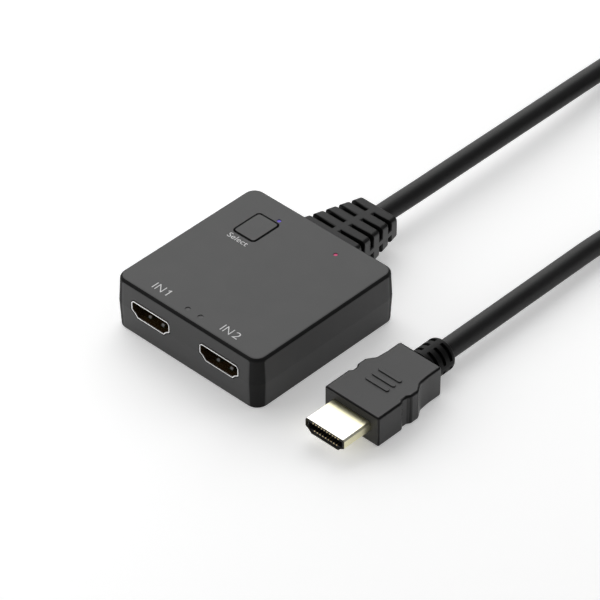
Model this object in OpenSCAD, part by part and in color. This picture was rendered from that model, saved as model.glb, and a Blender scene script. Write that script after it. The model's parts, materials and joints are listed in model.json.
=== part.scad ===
// Two-input video switch box with a fixed output cable and plug.
// Millimetres, +Z up. The origin is the middle of the underside of the case.
// The two input ports face -Y, and the cable leaves the case towards +Y.

/* [Case] */
// Width of the case at the split line
case_w = 55; // [53:0.5:64]
// Depth of the case at the split line
case_d = 55.5; // [54:0.5:64]
// Height of the case
case_h = 16.8; // [16.4:0.1:20]
// Height of the split line between the two shells
split_z = 8.4; // [8:0.1:9]
// How far each wall leans in between the split line and the outer face
draft = 0.4; // [0.1:0.05:0.6]
// Radius of the upright corners at the split line
corner_r = 4; // [3.2:0.1:6]
// Rounding of the edge round the top
edge_r = 1.1; // [0.2:0.05:1.3]
// Rounding of the edge round the underside
foot_r = 0.3; // [0.2:0.05:0.6]
// Thickness of the side walls
wall = 1.8; // [1.5:0.1:2.1]
// Thickness of the roof and of the floor
plate = 1.8; // [1.5:0.1:2.1]
// Height of the lip that stands inside the split line
lip_h = 1.2; // [0.8:0.1:1.6]
// Thickness of the lip
lip_t = 0.8; // [0.6:0.1:1]
// Play between pieces that are put together by hand
fit_gap = 0.1; // [0.05:0.05:0.2]

/* [Board] */
// Height of the underside of the circuit board
board_z = 5.2; // [5:0.1:5.6]
// Thickness of the circuit board
board_t = 1.6; // [1.2:0.1:1.8]
// Distance from the board's edge to the side walls
board_gap = 0.4; // [0.2:0.1:1]

/* [Case screws] */
// Diameter of the screw shanks
screw_d = 2; // [1.6:0.1:2.4]
// Diameter of the screw heads
screw_head_d = 3.6; // [3:0.1:4]
// Height of the screw heads
screw_head_h = 1; // [0.8:0.1:1]
// Depth of the head below the underside of the case
screw_sunk = 0.3; // [0.1:0.1:0.4]
// Length of the shank under the head
screw_l = 10; // [8:0.5:11]
// Diameter of the screw bosses
boss_d = 5; // [4.6:0.1:5.4]
// Distance from the side walls to the middle of the screws
screw_inset = 5.5; // [5:0.1:6]
// Distance of the front screws from the front of the case
screw_front = 14.8; // [14.6:0.1:16]
// Distance of the rear screws from the back of the case
screw_rear = 6.2; // [5.8:0.1:6.6]

/* [Input ports] */
// How far each port stands from the middle of its half of the front, towards the other port
port_shift = 0.7; // [0.4:0.1:1.5]
// Width of the port opening
port_w = 14; // [13.9:0.05:14.2]
// Height of the port opening
port_h = 4.6; // [4.5:0.05:4.7]
// Depth of the port shell from mouth to back
port_depth = 10.8; // [10:0.1:11.4]
// Thickness of the sheet metal
sheet = 0.3; // [0.25:0.05:0.35]
// Gap between the port shell and the case round it
port_gap = 0.3; // [0.1:0.05:0.35]
// Thickness of the contact tongue
tongue_t = 1; // [0.8:0.1:1.2]
// Width of the contact tongue
tongue_w = 11.6; // [11:0.1:12]
// Distance of the tongue's tip from the mouth
tongue_tip = 2.3; // [2.2:0.1:2.6]
// Sideways distance of the spring fingers from the port's middle
finger_x = 2.5; // [2:0.1:3]
// Width of a spring finger
finger_w = 1.5; // [1.2:0.1:1.8]
// Pitch of the contacts in one row
contact_pitch = 1; // [0.9:0.05:1.05]
// Width of a contact
contact_w = 0.4; // [0.3:0.05:0.5]
// Thickness of a contact
contact_t = 0.16; // [0.1:0.02:0.2]

/* [Select button] */
// Width of the button's cap
button_w = 7.8; // [7:0.1:8.2]
// Length of the button's cap
button_l = 10.3; // [9:0.1:10.6]
// Radius of the cap's corners
button_r = 1.1; // [0.6:0.1:2]
// Gap round the cap
button_gap = 0.45; // [0.25:0.05:0.5]
// How far the cap stands above the roof
button_proud = 0.1; // [0:0.05:0.5]
// Distance of the button's middle from the left side of the case
button_side = 14; // [13.7:0.1:15]
// Distance of the button's middle from the back of the case
button_back = 13.6; // [13.5:0.05:15.7]
// Travel of the button
button_travel = 0.3; // [0.2:0.05:0.4]

/* [Push switch] */
// Side of the square switch body
push_w = 6; // [5.6:0.1:6.4]
// Height of the switch body
push_h = 3.3; // [3.2:0.1:3.5]
// Height of the switch from the board to the plunger's top
push_top = 5; // [4.8:0.1:5.6]
// Diameter of the plunger
plunger_d = 3.4; // [3:0.1:3.6]

/* [Indicator lights] */
// Diameter of the light pipes at the ports
input_pipe_d = 1.5; // [1.2:0.1:1.8]
// Diameter of the light pipes at the back
rear_pipe_d = 1.2; // [0.9:0.1:1.3]
// Depth of the light pipes' ends below the roof
pipe_sunk = 0.2; // [0:0.05:0.3]
// Sideways place of the two lights at the ports
input_light_x = 2.4; // [1.8:0.1:3.5]
// Distance of the two lights at the ports from the front of the case
input_light_front = 4; // [3.8:0.1:5.5]
// Gap between the board's notch and the two lights at the back
rear_light_gap = 0.1; // [0.1:0.1:1]
// How much further out the blue light stands than the red one
blue_light_out = 0.5; // [0:0.1:1]
// Distance of the two lights at the back from the back of the case
rear_light_back = 7.1; // [6.6:0.1:7.1]

/* [Cable] */
// Diameter of the cable
cable_d = 6.1; // [5.6:0.1:6.1]
// Height of the cable's middle where it leaves the case
cable_z = 7.8; // [7.6:0.05:8]
// Length of the strain relief outside the case
boot_l = 21.8; // [19:0.1:22]
// Width of the strain relief at the case
boot_w = 21.8; // [20:0.1:22.6]
// Height of the strain relief at the case
boot_h = 12.4; // [11.6:0.1:12.8]
// Width of the strain relief at its end
boot_end_w = 14.4; // [13:0.1:15]
// Height of the strain relief at its end
boot_end_h = 7.2; // [7:0.1:7.6]
// Number of rows of slots in the strain relief
boot_rows = 4; // [2:1:4]
// Pitch of the rows of slots
boot_pitch = 4.5; // [4:0.1:4.7]
// Width of a slot
boot_slot = 1.3; // [0.8:0.1:1.5]
// Depth of the slots
boot_skin = 1.3; // [0.8:0.1:1.5]
// Width of the strain relief's neck in the wall
neck_w = 16; // [14:0.1:17]
// Height of the strain relief's neck in the wall
neck_h = 8.8; // [8:0.1:9.4]
// Thickness of the strain relief's flange inside the wall
flange_t = 1.6; // [1.2:0.1:1.8]

/* [Plug] */
// Width of the plug's grip
plug_w = 19.6; // [18:0.1:20]
// Height of the plug's grip
plug_h = 10; // [9:0.1:11]
// Length of the plug's grip
plug_l = 27.2; // [26:0.1:30]
// Width of the plug's metal shell
plug_shell_w = 13.9; // [13.85:0.05:13.95]
// Height of the plug's metal shell
plug_shell_h = 4.45; // [4.4:0.05:4.5]
// Length of the metal shell outside the grip
plug_shell_l = 10.4; // [10:0.1:11.5]
// Length of the metal shell inside the grip
plug_shell_in = 5; // [4:0.1:6]
// Diameter of the plug's strain relief
plug_boot_d = 10; // [9:0.1:10]
// Length of the plug's strain relief
plug_boot_l = 9.4; // [9:0.1:9.8]
// Height of the raised grip bars
bar_h = 0.3; // [0.15:0.05:0.4]
// Pitch of the raised grip bars
bar_pitch = 2.5; // [2.2:0.1:2.8]

/* [Hidden] */
$fn = 48;
eps = 0.01;
cut = 1;

// Heights in the case
roof_z = case_h - plate;
board_top = board_z + board_t;
front_y = -case_d / 2;
back_y = case_d / 2;
inner_w = case_w - 2 * wall;
inner_d = case_d - 2 * wall;
inner_r = corner_r - wall;
board_w = inner_w - 2 * board_gap;
board_d = inner_d - 2 * board_gap;

// Ports stand on the board with their mouths flush with the leaning front wall
port_z = board_top + sheet + port_h / 2;
port_y = front_y + draft * (port_z - split_z) / (case_h - split_z);
port_x = case_w / 4 - port_shift;
port_xs = [-port_x, port_x];
tongue_z = 0.3;
tongue_block = 7.4;
strip_back = 0.5;
contact_rows = [[10, 1], [9, -1]];
finger_root = 6.2;
finger_tip = 2.2;
finger_crest = [2.5, 3.3];
finger_rise = 0.42;
window_side = 0.3;
window_end = 0.4;
leg_w = 1.2;
leg_drop = board_t + 0.6;
leg_ys = [2.4, 8.6];

// Corners of a port's outline: the cut at the top, then the two steps at the bottom
outline_top = 0.5;
outline_in = [1.15, 2.1];
outline_down = [0.55, 1.25];

// Parts on the board: places as shares of the board from its middle, then width, depth and height
switch_chip_at = [0.06 * board_w, -0.08 * board_d];
switch_chip_size = [9, 9, 0.9];
controller_at = [0.32 * board_w, 0.12 * board_d];
controller_size = [3.9, 4.9, 1.4];
lead_pitch = 1.27;
lead_foot = [0.8, 0.4, 0.2];
lead_rise = [0.35, 0.4, 0.8];
surge_x = 3;
surge_back = 2.6;
surge_size = [2.5, 1, 0.55];
row_at = [-0.1 * board_w, 0.08 * board_d];
row_pitch = 0.063 * board_w;
row_count = 6;
row_gap = 2.5;
column_xs = [-0.17 * board_w, 0.23 * board_w];
column_y = -0.18 * board_d;
column_pitch = 0.051 * board_d;
column_count = 4;
small_capacitor = [1.6, 0.8, 0.8];
large_capacitor = [2, 1.25, 1.25];
resistor_size = [1, 0.5, 0.35];

// Screws stand near the four corners
screw_xs = [-case_w / 2 + screw_inset, case_w / 2 - screw_inset];
screw_ys = [front_y + screw_front, back_y - screw_rear];
screw_seat = screw_sunk + screw_head_h;
screw_pilot_l = screw_seat + screw_l + 0.6 - board_top;
recess_l = 0.55 * screw_head_d;
recess_w = 0.16 * screw_head_d;
recess_h = 0.6 * screw_head_h;

// Button and push switch, one above the other
button_x = -case_w / 2 + button_side;
button_y = back_y - button_back;
flange_h = 1;
flange_w = 0.7;
button_flange_z = roof_z - fit_gap - flange_h;
push_top_z = board_top + push_top;
push_frame_t = 0.3;
push_body_z = board_top + push_h;
collar_h = 0.6;
collar_z = push_body_z - fit_gap - collar_h;
dome_flat = 0.4;
dome_h = button_travel + dome_flat;
dome_z = collar_z - dome_h;
dome_d = 4.2;
dome_t = 0.12;
well_d = 5;
collar_over = 0.45;
plunger_play = 0.25;

// Lights, of which the two at the back stand beside the notch that the board leaves for the strain relief
flange_over = 1.3;
notch_w = neck_w + 2 * flange_over + 6 * fit_gap;
led_h = 0.8;
led_w = 1.6;
rear_light_x = notch_w / 2 + rear_light_gap + led_w / 2;
light_places = [
    [-input_light_x, front_y + input_light_front, input_pipe_d],
    [input_light_x, front_y + input_light_front, input_pipe_d],
    [-rear_light_x - blue_light_out, back_y - rear_light_back, rear_pipe_d],
    [rear_light_x, back_y - rear_light_back, rear_pipe_d]
];
input_lights = [0, 1];
blue_light = [2];
red_light = [3];

// Strain relief and the cable inside the case
cable_r = cable_d / 2;
boot_end_y = back_y + boot_l;
flange_y = back_y - wall - fit_gap - flange_t;
boot_round = 1.4;
boot_spine = 2.3;
boot_band = 2.2;
boot_first = 4.5;
ferrule_l = 2.4;
ferrule_t = 0.5;
cable_inner_y = flange_y - ferrule_l;
notch_y = cable_inner_y - 1;
wire_d = 0.7;
wire_pitch = 0.8;
wire_count = 7;
wire_l = 5;

// Plug, lying on the floor beside the case with its length along Y
plug_x = 50.4;
plug_front_y = -15.6;
plug_mouth_y = plug_front_y - plug_shell_l;
plug_tube_l = plug_shell_l + plug_shell_in;
plug_rear_y = plug_front_y + plug_l;
plug_end_y = plug_rear_y + plug_boot_l;
plug_z = plug_h / 2;
groove_t = 0.7;
groove_ys = [9.2, 10.1, 11.7, 12.8];
shoulder_y = 15.7;
hollow_r = 3.1;
hollow_out = 1.2;
hollow_back = 3.8;
waist = 2.15;
waist_back = 6.5;
rear_round = 0.6;
bar_l = 8.2;
bar_w = 1.3;
bar_first = 9.4;
bar_count = 3;
plug_slot_w = 12;
plug_slot_h = 2;
plug_slot_depth = 7;
plug_contact_t = 0.4;
insulator_back = 0.4;
plug_ring_first = 1.3;
plug_ring_pitch = 2.6;
plug_ring_count = 3;
plug_ring_l = 1.1;
plug_ring_depth = 1.1;
plug_ring_web = 1.8;
plug_boot_round = 1.6;
plug_boot_turn = [15, 90];

// Route of the cable from the strain relief to its coil
box_route = [
    [0, boot_end_y, cable_z],
    [0, 56, cable_z],
    [0.1, 65, 7.8],
    [0.1, 75, 7.8],
    [0.05, 86, 7.75],
    [0, 98, 7.65],
    [-0.2, 111, 7.4],
    [-0.55, 124, 6.95],
    [-1.2, 137, 6.2],
    [-2.1, 150, 5.05],
    [-3.1, 162, 3.75],
    [-3.75, 172, 3.1]
];

// Coil of the spare length, wound inwards and clockwise from its left side
coil_x = 33.25;
coil_y = 180;
coil_r = 37;
coil_step = 6.9;
coil_turns = 1.5;
coil_rings = 24;
coil_lead = 8;
coil_low = 3.1;
tie_gap = 0.3;
tie_t = 0.9;
tie_l = 4;
tie_lift = cable_r + tie_gap + tie_t - coil_low;
tie_turn = 0.25;
climb = 6.8;
climb_turn = 0.25;
coil_end_x = coil_x + coil_r - coil_turns * coil_step;
coil_top = coil_low + climb;

// Route of the cable from the coil, over its first turn and on to the plug
plug_route = [
    [coil_end_x, coil_y - coil_lead, coil_top],
    [coil_end_x, 164, coil_top],
    [59.8, 156, 9.7],
    [59.3, 148, 8.9],
    [58.3, 139, 7.6],
    [56.9, 130, 6.1],
    [55.2, 121, 4.8],
    [53.3, 112, 3.9],
    [51.4, 103, 3.6],
    [50, 94, 3.7],
    [49.7, 85, 4],
    [49.85, 74, 4.3],
    [50.1, 63, 4.6],
    [50.25, 52, 4.8],
    [50.35, 41, 4.9],
    [plug_x, 33, plug_z],
    [plug_x, 28, plug_z],
    [plug_x, plug_end_y, plug_z]
];

// A plate with round upright corners, standing on z = 0
module round_plate(w, d, r, h) {
    translate([-w / 2 + r, -d / 2, 0]) cube([w - 2 * r, d, h]);
    translate([-w / 2, -d / 2 + r, 0]) cube([w, d - 2 * r, h]);
    for (x = [-w / 2 + r, w / 2 - r], y = [-d / 2 + r, d / 2 - r])
        translate([x, y, 0]) cylinder(r = r, h = h);
}

// Half of a wall's cross-section: it leans in by lean and ends in a rounded edge
function wall_profile(r, h, lean, rounding) = concat(
    [[0, 0], [r, 0]],
    [for (a = [0:18:90]) [r - lean - rounding + rounding * cos(a), h - rounding + rounding * sin(a)]],
    [[0, h]]
);

// A block that stands on z = 0, with leaning walls, round corners and a rounded top edge
module leaning_block(w, d, r, h, lean, rounding) {
    profile = wall_profile(r, h, lean, rounding);
    along_x = w - 2 * r;
    along_y = d - 2 * r;
    translate([-along_x / 2, -along_y / 2, 0]) cube([along_x, along_y, h]);
    for (turn = [0, 180]) rotate([0, 0, turn]) {
        translate([along_x / 2, along_y / 2, 0]) rotate([90, 0, 0]) linear_extrude(along_y) polygon(profile);
        translate([along_x / 2, along_y / 2, 0]) rotate_extrude(angle = 90) polygon(profile);
        translate([-along_x / 2, along_y / 2, 0]) rotate([90, 0, 90]) linear_extrude(along_x) polygon(profile);
        translate([-along_x / 2, along_y / 2, 0]) rotate([0, 0, 90]) rotate_extrude(angle = 90) polygon(profile);
    }
}

// The hollow half of the case above z = 0, before anything is cut in it
module half_case(h, rounding) {
    difference() {
        leaning_block(case_w, case_d, corner_r, h, draft, rounding);
        translate([0, 0, -eps]) round_plate(inner_w, inner_d, inner_r, h - plate + eps);
    }
}

// Outline of a port or plug, seen from its mouth, with its corners cut in below.
// It can grow by a little on every side, and its lower corners then move out along their middle lines.
function port_outline(w, h, grow) = [
    [-w / 2 - grow, h / 2 - outline_top],
    [-w / 2 + outline_top, h / 2 + grow],
    [w / 2 - outline_top, h / 2 + grow],
    [w / 2 + grow, h / 2 - outline_top],
    [w / 2 + grow, -outline_down[0] - 0.4 * grow],
    [w / 2 - outline_in[0] + 0.7 * grow, -outline_down[1] - 0.7 * grow],
    [w / 2 - outline_in[1] + 0.6 * grow, -h / 2 - grow],
    [-w / 2 + outline_in[1] - 0.6 * grow, -h / 2 - grow],
    [-w / 2 + outline_in[0] - 0.7 * grow, -outline_down[1] - 0.7 * grow],
    [-w / 2 - grow, -outline_down[0] - 0.4 * grow]
];

// The outline drawn out along +Y from y to y + l
module port_bar(w, h, grow, y, l) {
    translate([0, y + l, 0]) rotate([90, 0, 0]) linear_extrude(l) polygon(port_outline(w, h, grow));
}

module at_port(x) {
    translate([x, port_y, port_z]) children();
}

// Openings for the two ports in the front wall
module port_cutouts() {
    for (x = port_xs) at_port(x) port_bar(port_w, port_h, sheet + port_gap, -cut, wall + 2 * cut);
}

// Opening for the strain relief's neck in the back wall
module neck_cutout() {
    translate([0, back_y, cable_z])
        cube([neck_w + 2 * fit_gap, 2 * wall + 2 * cut, neck_h + 2 * fit_gap], center = true);
}

// The band inside the split line where the lip of one shell enters the other
module lip_band(grow) {
    over = lip_t + grow;
    difference() {
        round_plate(inner_w + 2 * over, inner_d + 2 * over, inner_r + over, lip_h + grow);
        translate([0, 0, -cut]) round_plate(inner_w, inner_d, inner_r, lip_h + 2 * cut);
    }
}

module at_screws() {
    for (x = screw_xs, y = screw_ys) translate([x, y, 0]) children();
}

module upper_shell() {
    color("#2b2b2c") difference() {
        union() {
            translate([0, 0, split_z]) half_case(case_h - split_z, edge_r);
            at_screws() translate([0, 0, board_top]) cylinder(d = boss_d, h = roof_z - board_top + eps);
        }
        translate([0, 0, split_z - eps]) lip_band(fit_gap);
        port_cutouts();
        neck_cutout();
        at_screws() translate([0, 0, board_top - cut]) cylinder(d = screw_d + fit_gap, h = screw_pilot_l + cut);
        translate([button_x, button_y, roof_z - cut])
            round_plate(button_w + 2 * button_gap, button_l + 2 * button_gap, button_r + button_gap, plate + 2 * cut);
        for (p = light_places)
            translate([p[0], p[1], roof_z - cut]) cylinder(d = p[2] + fit_gap, h = plate + 2 * cut);
    }
}

module lower_shell() {
    color("#2b2b2c") difference() {
        union() {
            translate([0, 0, split_z]) mirror([0, 0, 1]) half_case(split_z, foot_r);
            translate([0, 0, split_z - eps]) lip_band(0);
            at_screws() translate([0, 0, plate - eps]) cylinder(d = boss_d, h = board_z - plate + eps);
        }
        port_cutouts();
        neck_cutout();
        at_screws() translate([0, 0, -cut]) cylinder(d = screw_head_d + 2 * fit_gap, h = screw_seat + cut);
        at_screws() translate([0, 0, -cut]) cylinder(d = screw_d + 2 * fit_gap, h = board_z + 2 * cut);
    }
}

// Screws with a cross recess in their heads
module case_screws() {
    color("#9a9a98") at_screws() difference() {
        union() {
            translate([0, 0, screw_sunk]) cylinder(d = screw_head_d, h = screw_head_h);
            translate([0, 0, screw_seat - eps]) cylinder(d = screw_d, h = screw_l + eps);
        }
        for (size = [[recess_l, recess_w], [recess_w, recess_l]])
            translate([-size[0] / 2, -size[1] / 2, screw_sunk - cut]) cube([size[0], size[1], recess_h + cut]);
    }
}

module main_board() {
    color("#1d4a2c") difference() {
        translate([0, 0, board_z]) round_plate(board_w, board_d, inner_r - board_gap, board_t);
        translate([-notch_w / 2, notch_y, board_z - cut]) cube([notch_w, board_d, board_t + 2 * cut]);
        at_screws() translate([0, 0, board_z - cut]) cylinder(d = screw_d + 4 * fit_gap, h = board_t + 2 * cut);
        for (x = port_xs) at_port(x) for (side = [-1, 1], y = leg_ys)
            translate([side * (port_w / 2 + sheet / 2), y + leg_w / 2, -port_h / 2])
                cube([sheet + 2 * fit_gap, leg_w + 2 * fit_gap, 4 * board_t], center = true);
    }
}

// A spring finger in the plane of the shell's floor, bent up into the opening
module spring_finger() {
    low = finger_rise - sheet;
    translate([finger_w / 2, 0, 0]) rotate([90, 0, -90]) linear_extrude(finger_w) polygon([
        [-finger_root, -sheet],
        [-finger_root, 0],
        [-finger_crest[1], finger_rise],
        [-finger_crest[0], finger_rise],
        [-finger_tip, 0],
        [-finger_tip, -sheet],
        [-finger_crest[0] - 0.1, low],
        [-finger_crest[1] + 0.1, low]
    ]);
}

// Formed sheet shell of a port: a tube with spring fingers, a closed back and four board legs
module port_shell(x) {
    window_w = finger_w + 2 * window_side;
    window_l = finger_root - finger_tip + window_end;
    color("#c9c9c6") at_port(x) {
        difference() {
            port_bar(port_w, port_h, sheet, 0, port_depth);
            port_bar(port_w, port_h, 0, -cut, port_depth - sheet + cut);
            for (side = [-1, 1], z = [-port_h / 2, port_h / 2])
                translate([side * finger_x - window_w / 2, finger_tip - window_end, z - 2 * sheet])
                    cube([window_w, window_l, 4 * sheet]);
        }
        for (side = [-1, 1]) {
            translate([side * finger_x, 0, -port_h / 2]) spring_finger();
            translate([side * finger_x, 0, port_h / 2]) mirror([0, 0, 1]) spring_finger();
        }
        for (side = [-1, 1], y = leg_ys)
            translate([side * (port_w / 2 + sheet / 2) - sheet / 2, y, -port_h / 2 - sheet - leg_drop])
                cube([sheet, leg_w, port_h / 2 + sheet + leg_drop]);
    }
}

// Sideways places of the contacts: ten in the upper row and nine in the lower row
function contact_xs(count) = [for (i = [0:count - 1]) (i - (count - 1) / 2) * contact_pitch];

// The contact strips are let into both faces of the tongue, and grow outwards to cut their own beds
module tongue_strips(grow) {
    y = tongue_tip + strip_back;
    for (row = contact_rows, cx = contact_xs(row[0])) {
        z = tongue_z + row[1] * (tongue_t - contact_t + grow) / 2;
        translate([cx - contact_w / 2, y, z - (contact_t + grow) / 2])
            cube([contact_w, tongue_block - y, contact_t + grow]);
    }
}

// The tongue grows out of a block that fills the back of the port shell
module port_tongue(x) {
    block_l = port_depth - sheet - tongue_block;
    color("#161616") at_port(x) difference() {
        union() {
            port_bar(port_w - 2 * fit_gap, port_h - 2 * fit_gap, 0, tongue_block, block_l);
            translate([-tongue_w / 2, tongue_tip, tongue_z - tongue_t / 2])
                cube([tongue_w, tongue_block - tongue_tip + eps, tongue_t]);
        }
        tongue_strips(cut);
    }
}

module port_contacts(x) {
    color("#c8a24a") at_port(x) tongue_strips(0);
}

// A flat part on the board, by its middle and its size
module chip(at, size) {
    translate([at[0] - size[0] / 2, at[1] - size[1] / 2, board_top]) cube(size);
}

module switch_chip() {
    color("#17181a") chip(switch_chip_at, switch_chip_size);
}

// A small chip that stands on its eight bent legs
module controller_chip() {
    reach = controller_size[0] / 2;
    color("#17181a") {
        translate([0, 0, lead_foot[2]]) chip(controller_at, controller_size);
        for (side = [-1, 1], i = [0:3]) {
            y = (i - 1.5) * lead_pitch;
            chip(controller_at + [side * (reach + lead_foot[0] * 0.8), y], lead_foot);
            chip(controller_at + [side * (reach + lead_rise[0] / 2 - eps), y], lead_rise);
        }
    }
}

module surge_arrays() {
    color("#17181a") for (x = port_xs, side = [-1, 1])
        chip([x + side * surge_x, port_y + port_depth + surge_back], surge_size);
}

// A row of parts along X and a column of parts along Y
module row_parts(y, size) {
    for (i = [0:row_count - 1]) chip([row_at[0] + row_pitch * i, y], size);
}

module column_parts(x, size) {
    for (i = [0:column_count - 1]) chip([x, column_y + column_pitch * i], size);
}

module capacitors() {
    color("#b79c74") {
        row_parts(row_at[1], small_capacitor);
        column_parts(column_xs[0], large_capacitor);
    }
}

module resistors() {
    color("#202022") {
        row_parts(row_at[1] + row_gap, resistor_size);
        column_parts(column_xs[1], resistor_size);
    }
}

module at_button(z) {
    translate([button_x, button_y, z]) children();
}

module push_switch_body() {
    color("#1b1b1c") at_button(board_top) difference() {
        translate([-push_w / 2, -push_w / 2, 0]) cube([push_w, push_w, push_h]);
        translate([0, 0, dome_z - board_top]) cylinder(d = well_d, h = push_h);
    }
}

// The snap dome is a thin cap whose rim stands in the well
module push_switch_dome() {
    half = dome_d / 2;
    ball = (half * half + dome_h * dome_h) / (2 * dome_h);
    color("#d0d0cc") at_button(dome_z) difference() {
        intersection() {
            translate([0, 0, dome_h - ball]) sphere(r = ball);
            cylinder(r = half, h = dome_h);
        }
        translate([0, 0, dome_h - ball]) sphere(r = ball - dome_t);
    }
}

module push_switch_plunger() {
    color("#101010") {
        at_button(collar_z) cylinder(d = plunger_d + 2 * collar_over, h = collar_h);
        at_button(collar_z) cylinder(d = plunger_d, h = push_top_z - collar_z);
    }
}

module push_switch_frame() {
    color("#b9b9b6") at_button(push_body_z) difference() {
        translate([-push_w / 2, -push_w / 2, 0]) cube([push_w, push_w, push_frame_t]);
        translate([0, 0, -cut]) cylinder(d = plunger_d + 2 * plunger_play, h = push_frame_t + 2 * cut);
    }
}

// The cap fills the opening in the roof, its flange stays below the roof, and its stem meets the plunger.
// The flange ends at the cap's back edge, beside the light there.
module select_button() {
    reach = button_gap + flange_w;
    cap_h = case_h + button_proud - button_flange_z;
    color("#2f2f30") {
        at_button(button_flange_z) {
            round_plate(button_w, button_l, button_r, cap_h);
            translate([-button_w / 2 - reach, -button_l / 2 - reach, 0])
                cube([button_w + 2 * reach, button_l - button_r + reach, flange_h]);
        }
        at_button(push_top_z) cylinder(d = plunger_d, h = button_flange_z - push_top_z + eps);
    }
}

module leds(list) {
    for (i = list) chip(light_places[i], [led_w, led_w, led_h]);
}

// A light pipe stands on its light and ends a little below the roof
module light_pipes(list) {
    low = board_top + led_h;
    for (i = list)
        translate([light_places[i][0], light_places[i][1], low])
            cylinder(d = light_places[i][2], h = case_h - pipe_sunk - low);
}

module input_leds() {
    color("#e8e4d8") leds(input_lights);
}

module blue_led() {
    color("#e8e4d8") leds(blue_light);
}

module red_led() {
    color("#e8e4d8") leds(red_light);
}

module input_light_pipes() {
    color("#4a4a4c") light_pipes(input_lights);
}

module blue_light_pipe() {
    color("#5a4bd0") light_pipes(blue_light);
}

module red_light_pipe() {
    color("#d04a6a") light_pipes(red_light);
}

// A bar along Y whose cross-section shrinks from one rounded rectangle to another
module tapered_bar(w1, h1, y1, w2, h2, y2, r) {
    hull() for (e = [[w1, h1, y1 + eps / 2], [w2, h2, y2 - eps / 2]], sx = [-1, 1], sz = [-1, 1])
        translate([sx * (e[0] / 2 - r), e[2], sz * (e[1] / 2 - r)])
            rotate([90, 0, 0]) cylinder(r = r, h = eps, center = true, $fn = 32);
}

// The slots of the strain relief run in from its sides, above and below a solid band
module boot_slots() {
    x = (boot_spine + boot_w) / 2;
    z = (boot_band + boot_h) / 2;
    for (i = [0:boot_rows - 1], sx = [-1, 1], sz = [-1, 1])
        translate([sx * x, back_y + boot_first + boot_pitch * i, sz * z])
            cube([boot_w, boot_slot, boot_h], center = true);
}

// The outside of the strain relief, or its core at some depth below the skin
module boot_body(depth, y1, y2, r) {
    s = 2 * depth;
    tapered_bar(boot_w - s, boot_h - s, y1, boot_end_w - s, boot_end_h - s, y2, r);
}

// A tapered, slotted sleeve with a neck through the wall, a flange behind it and a bore for the cable
module cable_boot() {
    color("#232324") translate([0, 0, cable_z]) difference() {
        union() {
            difference() {
                boot_body(0, back_y, boot_end_y, boot_round);
                difference() {
                    boot_slots();
                    boot_body(boot_skin, back_y - cut, boot_end_y + cut, boot_round / 2);
                }
            }
            translate([-neck_w / 2, flange_y, -neck_h / 2]) cube([neck_w, back_y - flange_y + 2 * eps, neck_h]);
            translate([-neck_w / 2 - flange_over, flange_y, -neck_h / 2 - flange_over])
                cube([neck_w + 2 * flange_over, flange_t, neck_h + 2 * flange_over]);
        }
        translate([0, flange_y - cut, 0]) rotate([-90, 0, 0])
            cylinder(d = cable_d, h = boot_end_y - flange_y + 2 * cut);
    }
}

// A round bar along +Y from y to y + l, at the cable's height in the case
module cable_bar(d, y, l) {
    translate([0, y, cable_z]) rotate([-90, 0, 0]) cylinder(d = d, h = l);
}

module cable_ferrule() {
    color("#b8b4a8") difference() {
        cable_bar(cable_d + 2 * ferrule_t, cable_inner_y, ferrule_l);
        cable_bar(cable_d, cable_inner_y - cut, ferrule_l + 2 * cut);
    }
}

module cable_inner_end() {
    color("#1e1e1f") cable_bar(cable_d, cable_inner_y, boot_end_y - cable_inner_y);
}

module signal_wires() {
    color("#8a3f3a") for (i = [0:wire_count - 1])
        translate([(i - (wire_count - 1) / 2) * wire_pitch, cable_inner_y, board_top + wire_d / 2])
            rotate([90, 0, 0]) cylinder(d = wire_d, h = wire_l);
}

function unit(v) = v / norm(v);

// Direction of a route at point i
function heading(route, i) = unit(route[min(i + 1, len(route) - 1)] - route[max(i - 1, 0)]);

// One ring of a tube round point i, square to the route
function ring(route, i, r, sides) =
    let (t = heading(route, i), u = unit(cross(t, [0, 0, 1])), v = cross(u, t))
    [for (k = [0:sides - 1]) route[i] + r * cos(360 * k / sides) * u + r * sin(360 * k / sides) * v];

// A round tube swept along a route
module tube(route, r, sides) {
    n = len(route);
    points = [for (i = [0:n - 1]) each ring(route, i, r, sides)];
    walls = [
        for (i = [0:n - 2], k = [0:sides - 1])
            let (a = i * sides + k, b = i * sides + (k + 1) % sides)
            each [[a, a + sides, b], [b, a + sides, b + sides]]
    ];
    first = [for (k = [1:sides - 2]) [0, k, k + 1]];
    last = [for (k = [1:sides - 2]) [(n - 1) * sides, (n - 1) * sides + k + 1, (n - 1) * sides + k]];
    polyhedron(points, concat(walls, first, last));
}

// A step from 0 to 1 that starts and ends level
function ease(x) = let (c = min(max(x, 0), 1)) c * c * (3 - 2 * c);

// Height of the coil after so many turns: lifted at the tie, and climbing at its end
function coil_height(turn) = coil_low
    + tie_lift * max(0, cos(360 * (turn - tie_turn))) ^ 2
    + climb * ease((turn - coil_turns + climb_turn) / climb_turn);

// A point of the coil after so many turns, from its left side over the back
function coil_point(turn) =
    let (r = coil_r - coil_step * turn, a = 180 - 360 * turn)
    [coil_x + r * cos(a), coil_y + r * sin(a), coil_height(turn)];

coil_count = coil_turns * coil_rings;
coil_route = concat(
    [[coil_x - coil_r, coil_y - coil_lead, coil_low]],
    [for (k = [0:coil_count]) coil_point(k / coil_rings)],
    [[coil_end_x, coil_y - coil_lead, coil_top]]
);

// A route with more points between its own
function finer(route, n) = [
    for (i = [0:len(route) - 2], k = [0:n - 1]) route[i] + (route[i + 1] - route[i]) * k / n
];

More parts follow.
